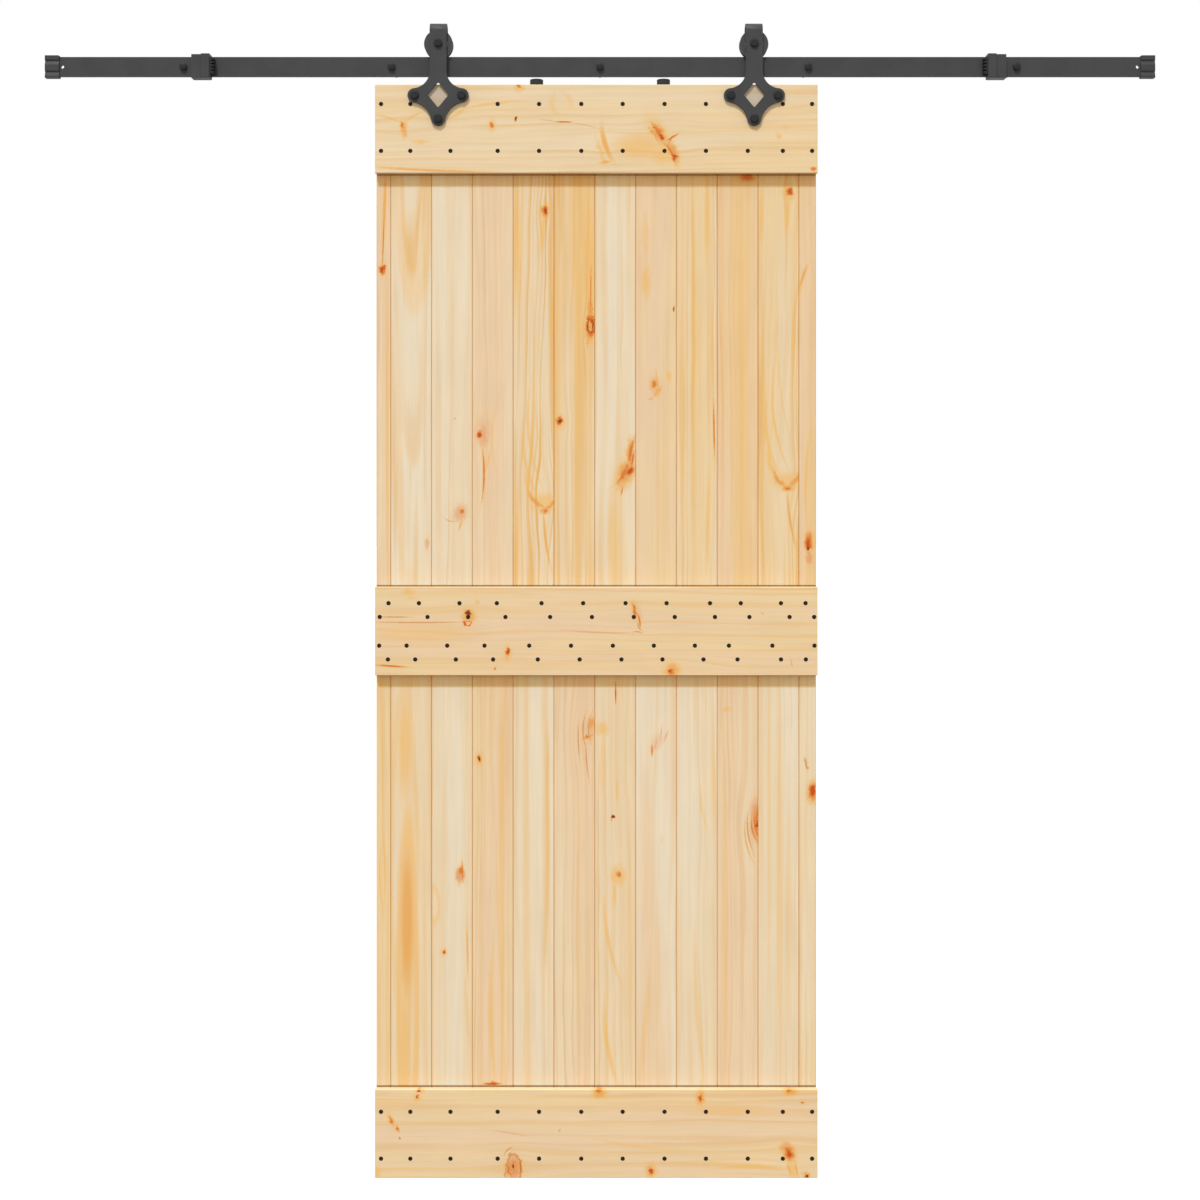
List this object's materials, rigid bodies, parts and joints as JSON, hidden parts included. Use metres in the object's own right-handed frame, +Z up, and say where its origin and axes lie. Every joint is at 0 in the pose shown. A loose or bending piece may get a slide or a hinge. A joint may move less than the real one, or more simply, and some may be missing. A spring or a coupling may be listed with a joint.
{
  "type": "sliding barn door",
  "caption": "Ledged pine barn door hung by two strap hangers with grooved wheels on a flat black wall rail with end stops.",
  "frame": {"origin": "on the wall plane, at the axis of the rail's middle bolt", "axes": "+X right along the rail as seen from the room, +Y into the wall, +Z up"},
  "size_m": [2.136, 0.1045, 2.2192],
  "materials": {
    "pine_boards": "sanded, oiled",
    "pine_bars": "sanded, oiled",
    "black_steel": "satin powder coat",
    "black_fasteners": "black oxide",
    "black_plastic": "moulded, matt",
    "wheel_nylon": "turned, satin",
    "bearing_steel": "shielded",
    "black_rubber": "matt"
  },
  "bodies": {
    "rail": {"rail": "black_steel", "wall_spacers": "black_steel", "lag_screws": "black_fasteners", "left_end_cap": "black_plastic", "right_end_cap": "black_plastic", "left_stop": "black_steel", "right_stop": "black_steel", "left_bumper": "black_rubber", "right_bumper": "black_rubber", "stop_screws": "black_fasteners"},
    "door": {"upper_board_01": "pine_boards", "upper_board_02": "pine_boards", "upper_board_03": "pine_boards", "upper_board_04": "pine_boards", "upper_board_05": "pine_boards", "upper_board_06": "pine_boards", "upper_board_07": "pine_boards", "upper_board_08": "pine_boards", "upper_board_09": "pine_boards", "upper_board_10": "pine_boards", "upper_board_11": "pine_boards", "upper_board_12": "pine_boards", "lower_board_01": "pine_boards", "lower_board_02": "pine_boards", "lower_board_03": "pine_boards", "lower_board_04": "pine_boards", "lower_board_05": "pine_boards", "lower_board_06": "pine_boards", "lower_board_07": "pine_boards", "lower_board_08": "pine_boards", "lower_board_09": "pine_boards", "lower_board_10": "pine_boards", "lower_board_11": "pine_boards", "lower_board_12": "pine_boards", "top_bar": "pine_bars", "middle_bar": "pine_bars", "bottom_bar": "pine_bars", "left_strap": "black_steel", "right_strap": "black_steel", "axle_bolts": "black_fasteners", "axle_sleeves": "black_fasteners", "axle_nuts": "black_fasteners", "hanger_bolts": "black_fasteners", "hanger_washers": "black_fasteners", "hanger_nuts": "black_fasteners", "anti_jump_discs": "black_plastic", "disc_screws": "black_fasteners", "board_screws": "black_fasteners"},
    "left_wheel": {"left_wheel": "wheel_nylon", "left_bearing": "bearing_steel"},
    "right_wheel": {"right_wheel": "wheel_nylon", "right_bearing": "bearing_steel"}
  },
  "joints": [
    {"name": "door_slide", "type": "slide", "parent": "rail", "child": "door", "axis": [1, 0, 0], "range_m": [-0.4129, 0.4228]},
    {"name": "left_wheel_roll", "type": "hinge", "parent": "door", "child": "left_wheel", "pos_m": [-0.31054, -0.033, 0.0425], "axis": [0, 1, 0], "continuous": true},
    {"name": "right_wheel_roll", "type": "hinge", "parent": "door", "child": "right_wheel", "pos_m": [0.296, -0.033, 0.0425], "axis": [0, 1, 0], "continuous": true}
  ],
  "couplings": [
    {"joint": "left_wheel_roll", "follows": "door_slide", "rad_per_m": 43.103},
    {"joint": "right_wheel_roll", "follows": "door_slide", "rad_per_m": 43.103}
  ]
}
